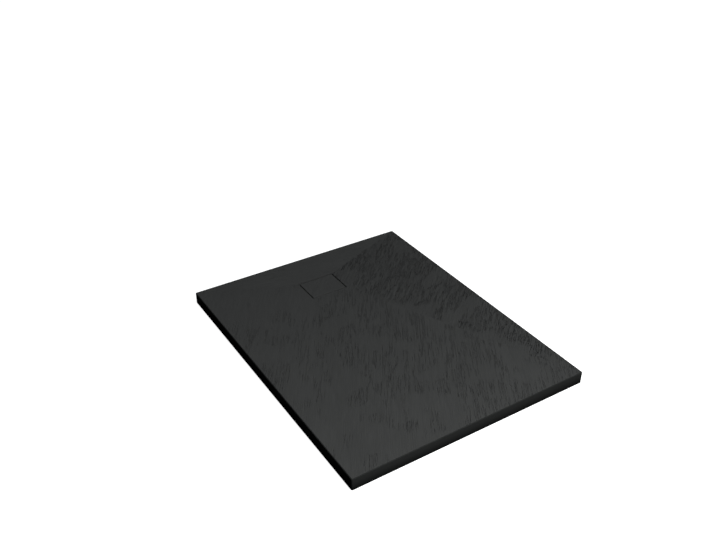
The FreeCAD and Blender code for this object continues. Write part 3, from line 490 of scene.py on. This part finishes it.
def remap(tree, source, low, high, to_low=0.0, to_high=1.0):
    """A value eased from one range into another, and held at its ends."""
    inputs = {"Value": source, "From Min": low, "From Max": high, "To Min": to_low, "To Max": to_high}
    return add_node(tree, "ShaderNodeMapRange", inputs, interpolation_type="SMOOTHSTEP").outputs[0]


def calculate(tree, operation, first, second):
    return add_node(tree, "ShaderNodeMath", {0: first, 1: second}, operation=operation).outputs[0]


def darkened(colour, share):
    return tuple(share * part for part in colour)


def mix_colours(tree, share, first, second):
    """The colour a share of the way from the first to the second. Each is three numbers or a socket."""
    inputs = {"Factor": share}
    for place, colour in ((MIX_FIRST, first), (MIX_SECOND, second)):
        inputs[place] = (*colour, 1) if isinstance(colour, tuple) else colour
    return add_node(tree, "ShaderNodeMix", inputs, data_type="RGBA").outputs[MIXED]


def stack_bumps(tree, shader, layers):
    """Bump layers of (height from 0 to 1, real depth), one over the other."""
    normal = None
    for height, depth in layers:
        inputs = {"Height": height, "Distance": depth, "Strength": 1.0}
        if normal:
            inputs["Normal"] = normal
        normal = add_node(tree, "ShaderNodeBump", inputs).outputs[0]
    tree.links.new(normal, shader.inputs["Normal"])


def slate_material(face, seed, relief, line, spread=0.0, calm=None):
    """Matt cast slate effect: dark grey, with sparse strokes along the grain and a gritty skin.

    line is the share of the grey in the strokes, and spread makes them wider and closer. calm holds a
    level direction and two distances along it, between which the strokes grow from few to many.
    """
    angle = GRAIN[face]
    material, tree, shader, place = start_material(f"slate_{face}", Specular_IOR_Level=0.03)
    mottle = grain_noise(tree, place, angle, *MOTTLE, 2, seed)
    patches = grain_noise(tree, place, angle, *PATCH, 1, seed + 1)
    streaks = grain_noise(tree, place, angle, *STROKE[face], 2, seed + 2, bend=0.5)
    threads = grain_noise(tree, place, angle, *THREAD, 2, seed + 3, bend=0.4)
    grit = grain_noise(tree, place, angle, *GRIT, 2, seed + 4)
    if calm:
        direction, low, high = calm
        along = add_node(tree, "ShaderNodeVectorMath", {0: place, 1: direction}, operation="DOT_PRODUCT")
        fewer = remap(tree, along.outputs["Value"], low, high, 0.16, 0.0)
        patches = calculate(tree, "SUBTRACT", patches, fewer)
    strength = remap(tree, patches, 0.42 - 2 * spread, 0.56 - 2 * spread, 0.12, 1.0)
    stroke = remap(tree, streaks, 0.55 - spread, 0.64 - spread)
    inked = calculate(tree, "MULTIPLY", stroke, strength)
    tint = remap(tree, calculate(tree, "ADD", mottle, threads), 0.7, 1.2)
    grey = mix_colours(tree, tint, SLATE_GREY, darkened(SLATE_GREY, 0.88))
    shade = mix_colours(tree, inked, grey, darkened(SLATE_GREY, line))
    tree.links.new(shade, shader.inputs["Base Color"])
    tree.links.new(remap(tree, mottle, 0.3, 0.7, 0.66, 0.58), shader.inputs["Roughness"])
    raised = remap(tree, inked, 0.0, 1.0, 1.0, 0.0)
    stack_bumps(tree, shader, [(raised, relief), (threads, 0.6 * relief), (grit, 0.12 * MM)])
    return material


def shaded_edge_material():
    """The slab's smooth cast sides: dead matt, with painted shade, a dark grey for their shade that grows
    darker towards the floor.
    """
    material, tree, shader, place = start_material("cast_edge_painted_shade", Roughness=0.9, Specular_IOR_Level=0.0)
    height = add_node(tree, "ShaderNodeSeparateXYZ", {0: place}).outputs["Z"]
    # painted shade: the sides' dark grey, darker still towards the floor
    colour = mix_colours(tree, remap(tree, height, 0.0, 0.8 * RIM), SHADED_EDGE_FOOT, SHADED_EDGE_TOP)
    tree.links.new(colour, shader.inputs["Base Color"])
    grit = grain_noise(tree, place, 0, 0.003, 0.003, 3, 31)
    stack_bumps(tree, shader, [(grit, 0.1 * MM)])
    return material


def steel_material(name, colour, rough, angle):
    """Brushed steel: fine lines along an angle, in the shine and in the surface."""
    material, tree, shader, place = start_material(name, Metallic=1.0)
    lines = grain_noise(tree, place, angle, 0.03, 0.0003, 2, 41)
    stain = grain_noise(tree, place, angle, 0.02, 0.02, 3, 42)
    tinted = mix_colours(tree, remap(tree, stain, 0.35, 0.65), darkened(colour, 0.86), colour)
    tree.links.new(tinted, shader.inputs["Base Color"])
    tree.links.new(remap(tree, lines, 0.3, 0.7, rough - 0.08, rough + 0.1), shader.inputs["Roughness"])
    stack_bumps(tree, shader, [(lines, 0.01 * MM)])
    return material


def moulded_material(name, colour, rough, grain, depth):
    """Moulded plastic or rubber: faint clouding and a fine even grain."""
    material, tree, shader, place = start_material(name)
    cloud = grain_noise(tree, place, 0, 0.03, 0.03, 2, 51)
    pores = grain_noise(tree, place, 0, grain, grain, 2, 52)
    tinted = mix_colours(tree, remap(tree, cloud, 0.35, 0.65), darkened(colour, 0.88), colour)
    tree.links.new(tinted, shader.inputs["Base Color"])
    tree.links.new(remap(tree, pores, 0.3, 0.7, rough - 0.06, rough + 0.08), shader.inputs["Roughness"])
    stack_bumps(tree, shader, [(pores, depth)])
    return material


def dress_nodes():
    """Gives every shown node of the frame its own finish."""
    steel = (0.62, 0.62, 0.61)
    finishes = {
        "pressed_steel": steel_material("pressed_steel", steel, 0.34, 0),
        "strainer_steel": steel_material("strainer_steel", steel, 0.28, math.radians(60)),
        "screw_steel": steel_material("screw_steel", (0.58, 0.58, 0.57), 0.25, math.radians(30)),
        "insert_brass": steel_material("insert_brass", (0.72, 0.53, 0.26), 0.3, 0),
        "grey_silicone": moulded_material("grey_silicone", (0.3, 0.3, 0.31), 0.6, 0.0008, 0.03 * MM),
        "black_rubber": moulded_material("black_rubber", (0.02, 0.02, 0.021), 0.7, 0.0006, 0.04 * MM),
        "moulded_grey": moulded_material("moulded_grey", (0.24, 0.25, 0.26), 0.48, 0.0009, 0.05 * MM),
        "moulded_white": moulded_material("moulded_white", (0.76, 0.76, 0.73), 0.42, 0.0009, 0.03 * MM),
    }
    for part in frame["record"]["subparts"]:
        finish = finishes.get(part["material_slot"])
        if finish:
            data = frame["nodes"][part["node"]].data
            data.materials.clear()
            data.materials.append(finish)


def seen_rays(tree):
    """1 for a ray from the camera, or one that shows in gloss or through glass, and 0 for the rest."""
    path = add_node(tree, "ShaderNodeLightPath")
    seen = path.outputs["Is Camera Ray"]
    for name in ("Is Glossy Ray", "Is Transmission Ray"):
        seen = calculate(tree, "MAXIMUM", seen, path.outputs[name])
    return seen


def floor_material():
    """Glowing white with a weak matt part where it is seen, and a dull grey for all other light."""
    material = bpy.data.materials.new("floor")
    material.use_nodes = True
    tree = material.node_tree
    tree.nodes.clear()
    white = add_node(tree, "ShaderNodeEmission", {"Color": (1, 1, 1, 1), "Strength": 0.95})
    lit = add_node(tree, "ShaderNodeBsdfDiffuse", {"Color": (0.5, 0.5, 0.5, 1)})
    shown = add_node(tree, "ShaderNodeAddShader", {0: white.outputs[0], 1: lit.outputs[0]})
    unseen = add_node(tree, "ShaderNodeBsdfDiffuse", {"Color": (0.05, 0.05, 0.05, 1)})
    inputs = {0: seen_rays(tree), 1: unseen.outputs[0], 2: shown.outputs[0]}
    both = add_node(tree, "ShaderNodeMixShader", inputs)
    add_node(tree, "ShaderNodeOutputMaterial", {"Surface": both.outputs[0]})
    return material


def make_floor():
    """A white floor with a well under the tray for the trap. It shows white and keeps a faint shadow."""
    gap, reach, room = 0.5 * MM, 8.0, 12 * MM
    top = tray_low.z - gap
    low = Vector((cad_low.x + 2 * room, trap_low.y - room, trap_low.z - 2 * room))
    low.x = min(low.x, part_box("union_nut")[0].x - room)
    high = Vector((trap_high.x + room, trap_high.y + room, top))
    outer = [(-reach, -reach, top), (reach, -reach, top), (reach, reach, top), (-reach, reach, top)]
    rim = [(low.x, low.y, top), (high.x, low.y, top), (high.x, high.y, top), (low.x, high.y, top)]
    foot = [(x, y, low.z) for x, y, _ in rim]
    # the outline's points come first, then the well's rim and its foot, four of each
    faces = [(8, 9, 10, 11)]
    for at in range(4):
        after = (at + 1) % 4
        faces += [(at, after, 4 + after, 4 + at), (4 + at, 4 + after, 8 + after, 8 + at)]
    data = bpy.data.meshes.new("floor")
    data.from_pydata(outer + rim + foot, [], faces)
    data.materials.append(floor_material())
    floor = bpy.data.objects.new("floor", data)
    bpy.context.scene.collection.objects.link(floor)


def make_world(fill):
    """White where it is seen, and a weak even fill for everything else."""
    world = bpy.data.worlds.new("studio")
    world.use_nodes = True
    tree = world.node_tree
    inputs = {0: seen_rays(tree), 1: 1 - fill, 2: fill}
    strength = add_node(tree, "ShaderNodeMath", inputs, operation="MULTIPLY_ADD")
    background = tree.nodes["Background"]
    background.inputs["Color"].default_value = (1, 1, 1, 1)
    tree.links.new(strength.outputs[0], background.inputs["Strength"])
    bpy.context.scene.world = world


def add_sun(name, towards, width, strength, colour):
    """Even light from one direction, with shadows as soft as a light of this angular width gives."""
    lamp = bpy.data.lights.new(name, "SUN")
    lamp.angle = width
    lamp.energy = strength
    lamp.color = colour
    sun = bpy.data.objects.new(name, lamp)
    sun.rotation_euler = Vector(towards).to_track_quat("Z", "Y").to_euler()
    bpy.context.scene.collection.objects.link(sun)


def add_softbox(name, place, aim, width, height, power, colour):
    """A rectangular lamp at a place, turned towards its aim."""
    lamp = bpy.data.lights.new(name, "AREA")
    lamp.color = colour
    lamp.shape = "RECTANGLE"
    lamp.size = width
    lamp.size_y = height
    lamp.energy = power
    softbox = bpy.data.objects.new(name, lamp)
    softbox.location = place
    softbox.rotation_euler = (Vector(aim) - Vector(place)).to_track_quat("-Z", "Y").to_euler()
    bpy.context.scene.collection.objects.link(softbox)


def add_camera():
    """The photograph's view, from above the tray's front corner and without a sideways tilt."""
    camera = bpy.data.objects.new("camera", bpy.data.cameras.new("camera"))
    camera.data.lens = CAMERA_LENS
    camera.location = CAMERA_PLACE
    camera.rotation_euler = (Vector(CAMERA_AIM) - camera.location).to_track_quat("-Z", "Y").to_euler()
    bpy.context.scene.collection.objects.link(camera)
    bpy.context.scene.camera = camera


# the fold between the far and back falls: the level direction square to it, and its place along that
fold = Vector((BOWL_X - DRAIN_X - LEDGE_X, BOWL_Y - LEDGE_Y, 0)).normalized()
off_fold = (-fold.y, fold.x, 0)
fold_place = off_fold[0] * BOWL_X + off_fold[1] * BOWL_Y
far_calm = (off_fold, fold_place - 0.8, fold_place)
back_calm = (off_fold, fold_place, fold_place + 0.08)
front_calm = ((1, 0, 0), -0.45, 0.05)
slate_on_falls = [
    slate_material("far", seed=0, relief=1.7 * MM, line=0.86, spread=0.03, calm=far_calm),
    slate_material("drain_end", seed=10, relief=0.9 * MM, line=0.86),
    slate_material("back", seed=20, relief=4.0 * MM, line=0.78, spread=0.055, calm=back_calm),
    slate_material("front", seed=30, relief=1.3 * MM, line=0.88, spread=0.01, calm=front_calm),
]
make_slate_tray(slate_on_falls, shaded_edge_material())
make_slate_cover(slate_material("cover", seed=40, relief=0.4 * MM, line=0.9))
dress_nodes()

add_camera()
make_floor()
make_world(fill=0.03)
add_sun("key", towards=(0.3, 0.35, 1.0), width=math.radians(12), strength=0.6, colour=(0.88, 0.945, 1.0))
add_softbox(
    "far_end",
    place=(1.45, 0.0, 1.5),
    aim=(0.2, 0.0, 0.0),
    width=0.8,
    height=0.8,
    power=45,
    colour=(1.0, 1.0, 0.975),
)

bpy.context.scene.view_settings.view_transform = "Standard"
